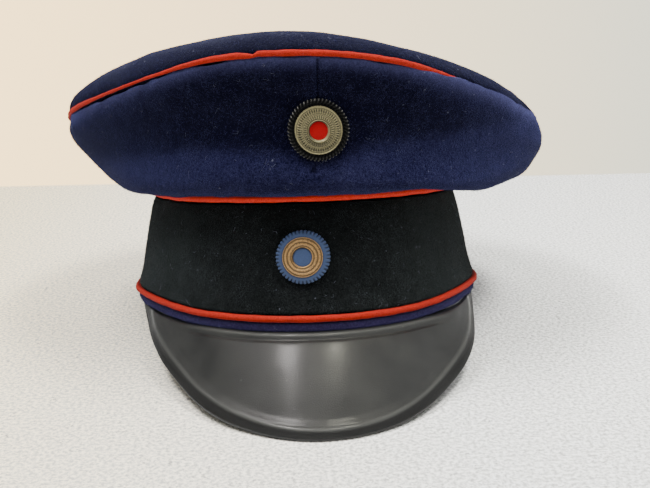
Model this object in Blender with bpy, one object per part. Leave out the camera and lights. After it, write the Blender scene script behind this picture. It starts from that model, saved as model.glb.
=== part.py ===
"""A peaked cap: a wide cloth crown on a tapered band, three rows of piping, a hem, a moulded
leather peak and two round metal cockades.

Metres, +Z up, the front of the cap towards -Y. The cap lies as it does on a table, on the front
edge of its peak and on the back of its rim, so it leans back. The pieces are built upright round
the head opening, whose rim is the plane z = 0, and an empty holds them at that lean.
Every ring shares the same section planes: r is the distance outwards from the rim's outline, and
z is the height above the rim. Angle 0 is the right-hand side as seen from the front, -90 degrees
is the front.
"""

from math import atan2, cos, exp, hypot, pi, radians, sin

import bmesh
import bpy
from mathutils import Matrix, Vector

# The head opening, at the outer face of the cloth
RIM_HALF_WIDTH = 0.0857
RIM_HALF_LENGTH = 0.1025
RIM_EGG = 0.10  # how much wider the back half is than the front half, as a share

# Cloth, leather and seams
BAND_WALL = 0.0030
CROWN_WALL = 0.0022
TOP_WALL = 0.0018
SEAM_GAP = 0.0003
PIPING_RADIUS = 0.0012
TOP_PIPING_RADIUS = 0.0011
PIPING_SEAT = 0.0012

# Hem and band
HEM_HEIGHT = 0.0040
BAND_HEIGHT = 0.0445
BAND_TAPER = {"front": 0.0170, "right": 0.0098, "back": 0.0080, "left": 0.0098}

# Crown, measured from the top of the band
CROWN_OVERHANG = {"front": 0.0180, "right": 0.0440, "back": 0.0340, "left": 0.0400}
CROWN_RISE = {"front": 0.0608, "right": 0.0295, "back": 0.0275, "left": 0.0387}
CROWN_COLLAR = 0.0015
TOP_CUSHION = {"front": 0.0140, "right": 0.0125, "back": 0.0120, "left": 0.0180}
TOP_CUSHION_WIDTH = 0.0100

# Peak
PEAK_REACH = 0.0364
PEAK_DROP = 0.0344
PEAK_WALL = 0.0020
PEAK_INSET = 0.0020
PEAK_FLANGE = 0.0060
PEAK_BEAD = 0.0009
PEAK_SPAN = radians(168)
PEAK_REACH_POWER = 2.75
PEAK_DROP_POWER = 2.15

# Cockades
UPPER_COCKADE_RADIUS = 0.01275
UPPER_COCKADE_SHIFT = 0.0026
UPPER_COCKADE_RISE = 0.0310  # above the top of the band
LOWER_COCKADE_RADIUS = 0.0115
LOWER_COCKADE_SHIFT = -0.0058
LOWER_COCKADE_FALL = 0.0217  # below the top of the band
COCKADE_PLATE = 0.0010
COCKADE_RIB = 0.0007
COCKADE_RIM_DROP = 0.0008
COCKADE_RING_HEIGHT = 0.0022
COCKADE_CENTRE_HEIGHT = 0.0008
UPPER_COCKADE_RIBS = 46
LOWER_COCKADE_RIBS = 40

# How far the cloth and leather are pressed flat where they rest
PRESS = 0.0008

# Resolution
RING_STEPS = 60
PIPING_SIDES = 6
COCKADE_STEPS = 24
SEAT_SAMPLES = 4
MERGE = 1e-6

FRONT = -pi / 2
BACK = pi / 2

# The band's outer face, from its lower edge to its upper one, as shares of its height and taper
BAND_ROWS = (
    {"up": 0.00, "in": 0.00},
    {"up": 0.09, "in": 0.14},
    {"up": 0.20, "in": 0.30},
    {"up": 0.55, "in": 0.56},
    {"up": 1.00, "in": 1.00},
)

# The crown's side panel from the band to the top seam: (out, up) shares of the overhang and rise
PANEL_ROWS = (
    {"front": (0.30, 0.00), "right": (0.05, 0.00), "back": (0.06, 0.00), "left": (0.05, 0.00)},
    {"front": (0.72, 0.05), "right": (0.28, -0.09), "back": (0.28, 0.01), "left": (0.22, 0.00)},
    {"front": (0.88, 0.14), "right": (0.54, -0.09), "back": (0.48, 0.07), "left": (0.38, 0.09)},
    {"front": (0.72, 0.30), "right": (0.78, 0.03), "back": (0.67, 0.20), "left": (0.55, 0.28)},
    {"front": (0.48, 0.47), "right": (0.93, 0.20), "back": (0.84, 0.38), "left": (0.73, 0.46)},
    {"front": (0.50, 0.64), "right": (1.00, 0.46), "back": (0.97, 0.60), "left": (0.89, 0.66)},
    {"front": (0.78, 0.84), "right": (1.05, 0.76), "back": (1.04, 0.83), "left": (1.01, 0.85)},
    {"front": (1.00, 1.00), "right": (1.00, 1.00), "back": (1.00, 1.00), "left": (1.00, 1.00)},
)

# The crown's top, as shares of the way from its seam to its centre
TOP_ROWS = (0.0, 0.03, 0.08, 0.16, 0.30, 0.58)

# The peak from its free edge to the hem, as shares of its reach and drop, and of its bead's height
PEAK_ROWS = (
    {"out": 1.000, "down": 1.000, "bead": 0.0},
    {"out": 0.965, "down": 0.960, "bead": 1.0},
    {"out": 0.905, "down": 0.895, "bead": 1.0},
    {"out": 0.880, "down": 0.865, "bead": 0.0},
    {"out": 0.720, "down": 0.660, "bead": 0.0},
    {"out": 0.500, "down": 0.410, "bead": 0.0},
    {"out": 0.280, "down": 0.180, "bead": 0.0},
    {"out": 0.120, "down": 0.040, "bead": 0.0},
    {"out": 0.000, "down": 0.010, "bead": 0.0},
)

# A cockade's raised ring, as shares of the cockade's radius and of the ring's height
UPPER_RING_ROWS = (
    {"radius": 0.780, "up": 0.0},
    {"radius": 0.785, "up": 0.45},
    {"radius": 0.720, "up": 0.85},
    {"radius": 0.640, "up": 0.75},
    {"radius": 0.500, "up": 1.00},
    {"radius": 0.360, "up": 0.80},
    {"radius": 0.320, "up": 0.0},
)
LOWER_RING_ROWS = (
    {"radius": 0.740, "up": 0.0},
    {"radius": 0.745, "up": 0.50},
    {"radius": 0.680, "up": 0.70},
    {"radius": 0.600, "up": 0.85},
    {"radius": 0.500, "up": 1.00},
    {"radius": 0.400, "up": 0.85},
    {"radius": 0.350, "up": 0.0},
)

# A cockade's coloured disc, as shares of its own radius and height
CENTRE_ROWS = (
    {"radius": 0.0, "up": 0.0},
    {"radius": 1.0, "up": 0.0},
    {"radius": 1.0, "up": 0.5},
    {"radius": 0.8, "up": 1.0},
    {"radius": 0.0, "up": 1.0},
)

# Each material's colour, roughness and metallic value
MATERIALS = {
    "navy_cloth": ((0.020, 0.025, 0.085), 0.92, 0.0),
    "black_cloth": ((0.012, 0.013, 0.014), 0.95, 0.0),
    "red_piping": ((0.55, 0.035, 0.020), 0.85, 0.0),
    "peak_leather": ((0.020, 0.021, 0.022), 0.38, 0.0),
    "black_metal": ((0.015, 0.015, 0.013), 0.45, 0.8),
    "white_metal": ((0.42, 0.40, 0.30), 0.40, 1.0),
    "red_enamel": ((0.60, 0.005, 0.008), 0.45, 0.0),
    "blue_enamel": ((0.09, 0.14, 0.34), 0.45, 0.0),
    "gilt_metal": ((0.55, 0.36, 0.17), 0.38, 1.0),
}


def around(angle, values, share=1.0):
    """A size that runs smoothly round the cap through its four values. A share under 1 carries it
    inwards from the outline to the mean value at the centre."""
    front, right, back, left = (values[side] for side in ("front", "right", "back", "left"))
    mean = (front + right + back + left) / 4
    oval = (right + left - front - back) / 4
    lean = (right - left) / 2 * cos(angle) + (back - front) / 2 * sin(angle)
    return mean + share * lean + share**2 * oval * cos(2 * angle)


def rim_point(angle):
    """An oval that is narrower towards the front, as a head is."""
    across = RIM_HALF_WIDTH * cos(angle) * (1 + RIM_EGG * sin(angle))
    return Vector((across, RIM_HALF_LENGTH * sin(angle), 0))


def rim_normal(angle):
    along_x = RIM_HALF_WIDTH * (RIM_EGG * cos(2 * angle) - sin(angle))
    along_y = RIM_HALF_LENGTH * cos(angle)
    return Vector((along_y, -along_x, 0)).normalized()


def in_section(angle, r, z):
    """The point at distance r outwards from the rim's outline and at height z."""
    return rim_point(angle) + rim_normal(angle) * r + Vector((0, 0, z))


def front_angle(shift):
    """The angle at which the rim's front has gone that far round from its middle."""
    return FRONT + shift / (RIM_HALF_WIDTH * (1 - RIM_EGG))


def band_bottom():
    return HEM_HEIGHT + 2 * SEAM_GAP + 2 * PIPING_RADIUS


def band_top():
    return band_bottom() + BAND_HEIGHT


def band_top_r(angle):
    return -around(angle, BAND_TAPER)


def seam_r(angle):
    return band_top_r(angle) + around(angle, CROWN_OVERHANG)


def seam_z(angle, share=1.0):
    return band_top() + around(angle, CROWN_RISE, share)


def miters(profile):
    """For each point of a profile, the vector to its left that keeps a wall's thickness."""
    steps = [(b - a).normalized() for a, b in zip(profile, profile[1:])]
    lefts = [Vector((-step.y, step.x)) for step in steps]
    found = []
    for before, after in zip([lefts[0], *lefts], [*lefts, lefts[-1]]):
        mean = (before + after).normalized()
        found.append(mean / max(0.6, mean.dot(after)))
    return found


def walled(profile, wall):
    """The closed section of a wall that lies to the left of its outer profile."""
    inner = [p + m * wall for p, m in zip(profile, miters(profile))]
    return profile + inner[::-1]


def hem_section(_angle):
    return [Vector(p) for p in ((0, 0), (0, HEM_HEIGHT), (-BAND_WALL, HEM_HEIGHT), (-BAND_WALL, 0))]


def round_section(radius, r, z):
    turns = [2 * pi * i / PIPING_SIDES for i in range(PIPING_SIDES)]
    return [Vector((r + radius * cos(turn), z + radius * sin(turn))) for turn in turns]


def hem_piping_section(_angle):
    r = -PIPING_SEAT + SEAM_GAP + PIPING_RADIUS
    return round_section(PIPING_RADIUS, r, HEM_HEIGHT + SEAM_GAP + PIPING_RADIUS)


def band_face(angle):
    taper = around(angle, BAND_TAPER)
    return [
        Vector((-taper * row["in"], band_bottom() + BAND_HEIGHT * row["up"])) for row in BAND_ROWS
    ]


def band_section(angle):
    """The band stands on the hem behind the lower piping, which lies in its rebate."""
    face = band_face(angle)
    foot = HEM_HEIGHT + SEAM_GAP
    rebate = [Vector((-PIPING_SEAT, foot)), Vector((-PIPING_SEAT, band_bottom()))]
    inner = [Vector((p.x - BAND_WALL, p.y)) for p in (face[-1], face[-2], face[0])]
    return rebate + face + inner + [Vector((-BAND_WALL, foot))]


def crown_piping_section(angle):
    r = band_top_r(angle) - PIPING_SEAT + SEAM_GAP + PIPING_RADIUS
    return round_section(PIPING_RADIUS, r, band_top() + SEAM_GAP + PIPING_RADIUS)


def panel_face(angle):
    """The outer face of the crown's side, from above the piping to the top seam."""
    base_r = band_top_r(angle)
    base_z = band_top() + 2 * SEAM_GAP + 2 * PIPING_RADIUS
    overhang = around(angle, CROWN_OVERHANG)
    rise = seam_z(angle) - CROWN_COLLAR - base_z
    face = []
    for row in PANEL_ROWS:
        out = around(angle, {side: share[0] for side, share in row.items()})
        up = around(angle, {side: share[1] for side, share in row.items()})
        face.append(Vector((base_r + overhang * out, base_z + rise * up)))
    return face


def panel_section(angle):
    """The panel's foot stands on the band behind the piping, and its collar ends upright."""
    face = panel_face(angle)
    foot_r = band_top_r(angle) - PIPING_SEAT
    foot = [
        Vector((foot_r, band_top() + SEAM_GAP)),
        Vector((foot_r, face[0].y)),
    ]
    collar = [Vector((seam_r(angle), seam_z(angle)))]
    return walled(foot + face + collar, CROWN_WALL)


def top_piping_section(angle):
    r = seam_r(angle) - PIPING_SEAT + SEAM_GAP + TOP_PIPING_RADIUS
    return round_section(TOP_PIPING_RADIUS, r, seam_z(angle) + SEAM_GAP + TOP_PIPING_RADIUS)


def crown_centre():
    front = in_section(FRONT, seam_r(FRONT), 0)
    back = in_section(BACK, seam_r(BACK), 0)
    return (front + back) / 2


def top_section(angle):
    """The top's outer face from its foot to its centre, then back along its inner one, as
    (distance from the centre, height)."""
    edge = (in_section(angle, seam_r(angle) - PIPING_SEAT, 0) - crown_centre()).length
    foot_top = 2 * SEAM_GAP + 2 * TOP_PIPING_RADIUS
    outer = [Vector((edge, seam_z(angle) + SEAM_GAP))]
    for share in TOP_ROWS:
        cushion = around(angle, TOP_CUSHION, 1 - share)
        cushion *= 1 - exp(-share * edge / TOP_CUSHION_WIDTH)
        outer.append(Vector((edge * (1 - share), seam_z(angle, 1 - share) + foot_top + cushion)))
    crest = Vector((0, seam_z(angle, 0) + foot_top + around(angle, TOP_CUSHION, 0)))
    section = walled(outer, TOP_WALL)
    half = len(outer)
    return section[:half] + [crest, crest - Vector((0, TOP_WALL))] + section[half:]


def in_top(angle, distance, z):
    centre = crown_centre()
    outwards = (in_section(angle, seam_r(angle), 0) - centre).normalized()
    return centre + outwards * distance + Vector((0, 0, z))


def peak_section(angle):
    """The peak's flange stands behind the hem, and its face runs out and down to a beaded edge."""
    depth = abs(sin(angle))
    reach = PEAK_REACH * depth**PEAK_REACH_POWER + PEAK_INSET * depth
    drop = PEAK_DROP * depth**PEAK_DROP_POWER
    base = [
        Vector((reach * row["out"] - PEAK_INSET, -SEAM_GAP - drop * row["down"]))
        for row in PEAK_ROWS
    ]
    flange_r = -BAND_WALL - SEAM_GAP
    base += [Vector((flange_r, -SEAM_GAP)), Vector((flange_r, PEAK_FLANGE))]
    normals = miters(base)
    beads = [row["bead"] * PEAK_BEAD * min(1, drop / PEAK_REACH) for row in PEAK_ROWS] + [0, 0]
    outer = [p - m * bead for p, m, bead in zip(base, normals, beads)]
    inner = [p + m * PEAK_WALL for p, m in zip(base, normals)]
    return outer + inner[::-1]


def grid_mesh(name, columns, rows, place):
    """A mesh of columns by rows faces, each vertex put where place(column, row) says. Edges and
    poles that meet are merged."""
    bm = bmesh.new()
    made = bmesh.ops.create_grid(bm, x_segments=columns, y_segments=rows, size=0.5)
    for vert in made["verts"]:
        vert.co = place(round((vert.co.x + 0.5) * columns), round((vert.co.y + 0.5) * rows))
    bmesh.ops.remove_doubles(bm, verts=bm.verts, dist=MERGE)
    return finished(bm, name)


def finished(bm, name):
    bmesh.ops.recalc_face_normals(bm, faces=bm.faces)
    mesh = bpy.data.meshes.new(name)
    bm.to_mesh(mesh)
    bm.free()
    mesh.shade_smooth()
    mesh.set_sharp_from_angle(angle=radians(40))
    return mesh


def material(name):
    made = bpy.data.materials.get(name)
    if made is None:
        colour, roughness, metallic = MATERIALS[name]
        made = bpy.data.materials.new(name)
        made.use_nodes = True
        shader = made.node_tree.nodes["Principled BSDF"]
        shader.inputs["Base Color"].default_value = (*colour, 1)
        shader.inputs["Roughness"].default_value = roughness
        shader.inputs["Metallic"].default_value = metallic
        made.diffuse_color = (*colour, 1)
    return made


def add_piece(name, mesh, material_name, parent, placing=None):
    mesh.materials.append(material(material_name))
    piece = bpy.data.objects.new(name, mesh)
    bpy.context.scene.collection.objects.link(piece)
    piece.parent = parent
    if placing is not None:
        piece.matrix_local = placing


def ring_angles():
    return [FRONT + 2 * pi * i / RING_STEPS for i in range(RING_STEPS)]


def peak_angles():
    """The peak's section planes, which are also the rings' ones, so that it follows them."""
    step = 2 * pi / RING_STEPS
    half = round(PEAK_SPAN / 2 / step)
    return [FRONT + i * step for i in range(-half, half + 1)]


def rest_pose():
    """(lean, height of the rim's centre): the cap stands on its peak's edge and its rim's back,
    each pressed into the cloth or leather by PRESS."""
    back = Vector((RIM_HALF_LENGTH, 0))
    edge = peak_section(FRONT)
    corners = [Vector((-RIM_HALF_LENGTH - p.x, p.y)) for p in edge]
    lean = max(atan2(-p.y, back.x - p.x) for p in corners)
    return lean, back.x * sin(lean) - PRESS


def pressed(point, lean, height):
    """The point, or where it comes to lie if it is below the table."""
    up = Vector((0, -sin(lean), cos(lean)))
    depth = point.dot(up) + height
    return point - up * min(0, depth)


def ring_piece(name, section, material_name, cap, where=in_section, pose=None):
    """A solid ring, swept round the head opening through its sections."""
    angles = ring_angles()
    sections = [section(angle) for angle in angles]
    rows = len(sections[0])

    def place(column, row):
        column %= RING_STEPS
        point = where(angles[column], *sections[column][row % rows])
        return pressed(point, *pose) if pose else point

    add_piece(name, grid_mesh(name, RING_STEPS, rows, place), material_name, cap)


def peak_piece(cap, pose):
    angles = peak_angles()
    sections = [peak_section(angle) for angle in angles]
    rows = len(sections[0])

    def place(column, row):
        return pressed(in_section(angles[column], *sections[column][row % rows]), *pose)

    bm = bmesh.new()
    bm.from_mesh(grid_mesh("peak", len(angles) - 1, rows, place))
    bmesh.ops.holes_fill(bm, edges=bm.edges, sides=0)
    add_piece("peak", finished(bm, "peak"), "peak_leather", cap)


def face_point(face, z):
    """The distance outwards of a face at height z, between its rows."""
    for below, above in zip(face, face[1:]):
        if below.y <= z <= above.y:
            return below.x + (above.x - below.x) * (z - below.y) / (above.y - below.y)
    return face[-1].x if z > face[-1].y else face[0].x


def cockade_seat(face_at, x, z, radius):
    """The placing of a cockade on the cloth: its local +Z points away from the cloth, and its
    back clears the highest cloth behind it by the seam gap."""
    angle = front_angle(x)
    low, high = (face_point(face_at(angle), z + side * radius) for side in (-1, 1))
    slope = atan2(low - high, 2 * radius)
    normal = rim_normal(angle) * cos(slope) + Vector((0, 0, sin(slope)))
    across = Vector((0, 0, 1)).cross(normal).normalized()
    middle = in_section(angle, face_point(face_at(angle), z), z)
    proud = 0
    samples = range(-SEAT_SAMPLES, SEAT_SAMPLES + 1)
    for i in samples:
        for j in samples:
            if hypot(i, j) > SEAT_SAMPLES:
                continue
            aside = front_angle(x + radius * i / SEAT_SAMPLES)
            level = z + radius * j / SEAT_SAMPLES
            cloth = in_section(aside, face_point(face_at(aside), level), level)
            proud = max(proud, (cloth - middle).dot(normal))
    turn = Matrix((across, normal.cross(across), normal)).transposed().to_4x4()
    return Matrix.Translation(middle + normal * (proud + SEAM_GAP)) @ turn


def turned_mesh(name, steps, profile_at, closed=False):
    """A turned shape about local Z. profile_at(step) gives its (radius, height) points from axis to
    axis, or round a closed loop."""
    count = len(profile_at(0))

    def place(column, row):
        turn = 2 * pi * column / steps
        radius, height = profile_at(column)[row % count]
        return Vector((radius * cos(turn), radius * sin(turn), height))

    return grid_mesh(name, steps, count if closed else count - 1, place)


def cockade_base(name, radius, ribs, ring_rows, material_name, cap, placing):
    """A ribbed plate with a flat back. Its ribbed border falls away towards a scalloped edge, and
    the middle is flat under the ring."""
    inner = radius * ring_rows[0]["radius"]

    def profile_at(step):
        rib = COCKADE_RIB * (step % 2)
        edge = radius - COCKADE_RIB + rib
        border = COCKADE_PLATE - COCKADE_RIM_DROP / 2 + rib / 2
        crest = ((radius + inner) / 2, COCKADE_PLATE + rib)
        return ((0, 0), (edge, 0), (edge, border), crest, (inner, COCKADE_PLATE), (0, COCKADE_PLATE))

    add_piece(name, turned_mesh(name, 2 * ribs, profile_at), material_name, cap, placing)


def cockade_ring(name, radius, ring_rows, material_name, cap, placing):
    """The raised metal ring, which stands on the plate."""
    floor = COCKADE_PLATE + SEAM_GAP
    profile = [
        (radius * row["radius"] - SEAM_GAP, floor + COCKADE_RING_HEIGHT * row["up"])
        for row in ring_rows
    ]
    mesh = turned_mesh(name, COCKADE_STEPS, lambda _step: profile, closed=True)
    add_piece(name, mesh, material_name, cap, placing)


def cockade_centre(name, radius, ring_rows, material_name, cap, placing):
    """The coloured disc in the middle of the ring."""
    floor = COCKADE_PLATE + SEAM_GAP
    edge = radius * ring_rows[-1]["radius"] - 2 * SEAM_GAP
    profile = [
        (edge * row["radius"], floor + COCKADE_CENTRE_HEIGHT * row["up"]) for row in CENTRE_ROWS
    ]
    mesh = turned_mesh(name, COCKADE_STEPS, lambda _step: profile)
    add_piece(name, mesh, material_name, cap, placing)


def upper_cockade(cap):
    radius = UPPER_COCKADE_RADIUS
    rows = UPPER_RING_ROWS
    height = band_top() + UPPER_COCKADE_RISE
    seat = cockade_seat(panel_face, UPPER_COCKADE_SHIFT, height, radius)
    ribs = UPPER_COCKADE_RIBS
    cockade_base("upper_cockade_base", radius, ribs, rows, "black_metal", cap, seat)
    cockade_ring("upper_cockade_ring", radius, rows, "white_metal", cap, seat)
    cockade_centre("upper_cockade_centre", radius, rows, "red_enamel", cap, seat)


def lower_cockade(cap):
    radius = LOWER_COCKADE_RADIUS
    rows = LOWER_RING_ROWS
    height = band_top() - LOWER_COCKADE_FALL
    seat = cockade_seat(band_face, LOWER_COCKADE_SHIFT, height, radius)
    ribs = LOWER_COCKADE_RIBS
    cockade_base("lower_cockade_base", radius, ribs, rows, "blue_enamel", cap, seat)
    cockade_ring("lower_cockade_ring", radius, rows, "gilt_metal", cap, seat)
    cockade_centre("lower_cockade_centre", radius, rows, "blue_enamel", cap, seat)


def centre_on_floor(cap):
    """Moves the cap so that the middle of its box stands over the origin."""
    bpy.context.view_layer.update()
    corners = [
        piece.matrix_world @ vert.co for piece in cap.children for vert in piece.data.vertices
    ]
    for axis in (0, 1):
        reach = [corner[axis] for corner in corners]
        cap.location[axis] -= (min(reach) + max(reach)) / 2


def main():
    for old in list(bpy.data.objects):
        bpy.data.objects.remove(old, do_unlink=True)
    lean, height = pose = rest_pose()
    cap = bpy.data.objects.new("cap", None)
    bpy.context.scene.collection.objects.link(cap)
    cap.rotation_euler = (-lean, 0, 0)
    cap.location = (0, 0, height)
    ring_piece("hem", hem_section, "navy_cloth", cap, pose=pose)
    ring_piece("hem_piping", hem_piping_section, "red_piping", cap)
    ring_piece("band", band_section, "black_cloth", cap)
    ring_piece("crown_piping", crown_piping_section, "red_piping", cap)
    ring_piece("crown_side", panel_section, "navy_cloth", cap)
    ring_piece("top_piping", top_piping_section, "red_piping", cap)
    ring_piece("crown_top", top_section, "navy_cloth", cap, where=in_top)
    peak_piece(cap, pose)
    upper_cockade(cap)
    lower_cockade(cap)
    centre_on_floor(cap)


main()
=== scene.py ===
"""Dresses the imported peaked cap: napped wool with corded seams, a lacquered peak and two cockades,
on a pale table. Metres, +Z up, the front of the cap towards -Y.

Cloth and leather pieces are smooth, dense copies of the frame's solids, shaped further in the
cap's own frame: its origin is the middle of the lower cord, its +Z leads up through the crown.
"""

from math import cos, pi, radians, sin

import bmesh
import bpy
import numpy as np
from bpy.props import FloatProperty, FloatVectorProperty, IntProperty, PointerProperty
from mathutils import Matrix, Vector, noise
from mathutils.bvhtree import BVHTree
from mathutils.kdtree import KDTree


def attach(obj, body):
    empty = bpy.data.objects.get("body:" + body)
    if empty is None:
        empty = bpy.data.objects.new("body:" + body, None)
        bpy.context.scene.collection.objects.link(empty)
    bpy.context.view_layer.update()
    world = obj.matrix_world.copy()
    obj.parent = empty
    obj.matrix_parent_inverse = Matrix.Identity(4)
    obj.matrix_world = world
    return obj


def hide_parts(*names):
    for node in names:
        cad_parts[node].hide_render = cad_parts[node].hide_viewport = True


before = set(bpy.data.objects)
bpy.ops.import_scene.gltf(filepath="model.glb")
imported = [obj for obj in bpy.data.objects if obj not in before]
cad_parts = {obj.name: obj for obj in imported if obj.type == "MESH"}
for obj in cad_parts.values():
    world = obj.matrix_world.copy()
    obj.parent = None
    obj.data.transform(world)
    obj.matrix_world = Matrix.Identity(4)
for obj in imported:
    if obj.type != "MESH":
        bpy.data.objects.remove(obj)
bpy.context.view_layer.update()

bl_info = {
    "name": "Peaked cap",
    "version": (1, 0, 0),
    "blender": (4, 5, 0),
    "location": "3D View > Sidebar > Cap",
    "description": "Dresses the solids of a peaked cap in wool, leather and enamel",
    "category": "Object",
}

MERGE = 1e-5
FRONT = -pi / 2
SENSOR_WIDTH = 36


def colour_prop(name, description, default, brightest=1.0):
    return FloatVectorProperty(
        name=name, description=description, default=default, subtype="COLOR", size=3, min=0,
        max=brightest,
    )


def number_prop(name, description, default):
    return FloatProperty(name=name, description=description, default=default, min=0)


def length_prop(name, description, default):
    return FloatProperty(
        name=name, description=description, default=default, unit="LENGTH", precision=5
    )


def angle_prop(name, description, degrees):
    default = radians(degrees)
    return FloatProperty(name=name, description=description, default=default, subtype="ANGLE")


def count_prop(name, description, default):
    return IntProperty(name=name, description=description, default=default, min=0)


class CapCloth(bpy.types.PropertyGroup):
    """Colours and surface of the napped wool."""

    navy: colour_prop("Navy", "Crown cloth", (0.0014, 0.0015, 0.0105))
    navy_nap: colour_prop("Navy nap", "Raised fibres of the navy cloth", (0.0175, 0.0180, 0.0520))
    # The top's nap colour is a lit copy of the navy nap: painted light and sheen on the top, which
    # faces up
    lit_top_nap: colour_prop("Top nap", "Raised fibres of the crown's top", (0.057, 0.060, 0.092))
    black: colour_prop("Black", "Band cloth", (0.0015, 0.0021, 0.0021))
    black_nap: colour_prop("Black nap", "Raised fibres of the band cloth", (0.0130, 0.0150, 0.0150))
    # The hem's colours are a lit copy of the navy cloth: painted light
    hem: colour_prop("Hem", "Paler navy of the hem", (0.017, 0.013, 0.040))
    lit_hem_nap: colour_prop("Hem nap", "Raised fibres of the hem", (0.042, 0.031, 0.090))
    lint: colour_prop("Lint", "Pale fibres caught in the nap", (0.20, 0.21, 0.27))
    shade_share: colour_prop("Pile", "Share of the raised colour in a shaded place", (0.18, 0.18, 0.22))
    unevenness: length_prop("Unevenness", "How far the soft cloth strays from its form", 0.0009)
    pucker: length_prop("Pucker", "Depth of the ripples beside a sewn seam", 0.00035)
    groove: length_prop("Seam groove", "Depth of the front seam", 0.0010)
    lip: length_prop("Lip", "How far the side's edge rolls over its cord on the right", 0.0018)
    nap_count: count_prop("Nap fibres", "Fibres on each half of the crown", 36000)
    nap_length: length_prop("Nap length", "Length of a raised fibre", 0.0010)
    lint_count: count_prop("Lint fibres", "Pale loose fibres", 320)


class CapCords(bpy.types.PropertyGroup):
    """The wool cords in the seams."""

    red: colour_prop("Red", "Cord's cover", (0.37, 0.021, 0.0100))
    # The deep red is the nap's deeper fibres and the shade painted where a cord turns into its seam
    deep_and_shaded_red: colour_prop("Deep red", "Cover where it sinks into the seam", (0.14, 0.006, 0.004))
    swell: length_prop("Swell", "How much the cloth cover thickens a cord", 0.00035)
    join_step: length_prop("Join step", "How far the top cord's end sits off its start", 0.0007)


class CapPeak(bpy.types.PropertyGroup):
    """The lacquered leather peak."""

    lacquer: colour_prop("Lacquer", "Dark lacquer", (0.006, 0.0063, 0.006))
    bloom: colour_prop("Bloom", "Greyed, rubbed lacquer", (0.016, 0.0164, 0.0150))
    roll: length_prop("Roll", "Height of the rounded shoulder below the hem", 0.0009)


class CapCockades(bpy.types.PropertyGroup):
    """The two round metal cockades."""

    black: colour_prop("Black plate", "Upper cockade's pleated plate", (0.0016, 0.0016, 0.0016))
    # The glint colour is painted highlight on the black pleats' tips.
    glint: colour_prop("Glint", "Rubbed tips of the black pleats", (0.22, 0.215, 0.20))
    silver: colour_prop("Silver", "Upper cockade's ring", (0.31, 0.275, 0.145))
    tarnish: colour_prop("Tarnish", "Dark tarnish between the ribs", (0.010, 0.009, 0.005))
    red: colour_prop("Red enamel", "Upper cockade's centre", (0.22, 0.0001, 0.0018))
    blue: colour_prop("Blue", "Lower cockade's plate and centre", (0.027, 0.043, 0.092))
    gilt: colour_prop("Gilt", "Lower cockade's ring", (0.49, 0.29, 0.115))
    upper_pleats: count_prop("Upper pleats", "Pleats of the black plate", 50)
    lower_pleats: count_prop("Lower pleats", "Pleats of the blue plate", 42)


class CapStage(bpy.types.PropertyGroup):
    """Table, light and camera."""

    table: colour_prop("Table", "Pale table top", (0.96, 0.96, 0.935))
    warm_table: colour_prop("Warm table", "Table top towards the left", (0.96, 0.79, 0.48))
    bounce: number_prop("Bounce", "Share of its colour with which the table lights the cap", 0.7)
    wall_left: colour_prop("Wall left", "Backdrop on the left", (4.6, 3.1, 1.35), 10.0)
    wall_right: colour_prop("Wall right", "Backdrop on the right", (1.65, 1.65, 1.35), 10.0)
    fill_low: number_prop("Fill low", "Light from the walls", 0.45)
    fill_high: number_prop("Fill high", "Light from above", 0.6)
    gloss: number_prop("Gloss", "Share of the fill light that smooth surfaces mirror", 0.55)
    camera_place: FloatVectorProperty(
        name="Camera place",
        description="Where the camera stands",
        default=(-0.02419, -0.48853, 0.1794),
        subtype="TRANSLATION",
        size=3,
    )
    heading: angle_prop("Heading", "Turn about Z", -3.6)
    pitch: angle_prop("Pitch", "Angle below the horizon", 16.06)
    roll: angle_prop("Roll", "Turn about the view line", -1.175)
    lens: number_prop("Lens", "Focal length in mm", 55.48)


# Places in the cap's own frame


def points_of(mesh, kind="co"):
    flat = np.empty(len(mesh.vertices) * 3)
    mesh.vertices.foreach_get(kind, flat)
    return flat.reshape(-1, 3)


def put_points(mesh, points):
    mesh.vertices.foreach_set("co", points.ravel())
    mesh.update()


def node_points(node):
    return points_of(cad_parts[node].data)


def plane_of(points):
    """(centre, unit normal) of the plane that fits a flat ring or disc of points."""
    centre = points.mean(0)
    normal = np.linalg.svd(points - centre, full_matrices=False)[2][2]
    return centre, normal


def cap_axes():
    """(origin, axes): the rows of axes are the cap's right, back and up directions."""
    origin, up = plane_of(node_points("hem_piping"))
    up = up * np.sign(up[2])
    right = np.array([1.0, 0.0, 0.0])
    right -= up * right.dot(up)
    right /= np.linalg.norm(right)
    return origin, np.array([right, np.cross(up, right), up])


ORIGIN, AXES = cap_axes()


def to_cap(points):
    return (points - ORIGIN) @ AXES.T


def from_cap(points):
    return points @ AXES + ORIGIN


def places_of(mesh):
    """Each vertex's place in the cap's own frame."""
    return to_cap(points_of(mesh))


def directions_of(mesh):
    """Each vertex's normal in the cap's own frame."""
    return points_of(mesh, "normal") @ AXES.T


def angles_of(places):
    return np.arctan2(places[:, 1], places[:, 0])


def turned_by(angles, middle):
    """Signed angle from a direction, between -pi and pi."""
    return (angles - middle + pi) % (2 * pi) - pi


def hill(values, middle, width):
    """A smooth hill: 1 at the middle, 0 beyond the width on either side."""
    share = np.clip(np.abs(values - middle) / width, 0, 1)
    return (1 - share**2) ** 2


def step(values, low, high):
    """A smooth step from 0 at low to 1 at high."""
    share = np.clip((values - low) / (high - low), 0, 1)
    return share * share * (3 - 2 * share)


def distance_to(places, targets):
    """Distance from each place to the nearest of many close points."""
    tree = KDTree(len(targets))
    for i, point in enumerate(targets):
        tree.insert(point, i)
    tree.balance()
    return np.array([tree.find(place)[2] for place in places])


SURFACES = {}


def distance_to_node(places, node):
    """Distance from each place to a node's surface."""
    if node not in SURFACES:
        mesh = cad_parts[node].data
        corners = [polygon.vertices[:] for polygon in mesh.polygons]
        SURFACES[node] = BVHTree.FromPolygons(places_of(mesh).tolist(), corners)
    return np.array([SURFACES[node].find_nearest(place)[3] for place in places.tolist()])


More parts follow.
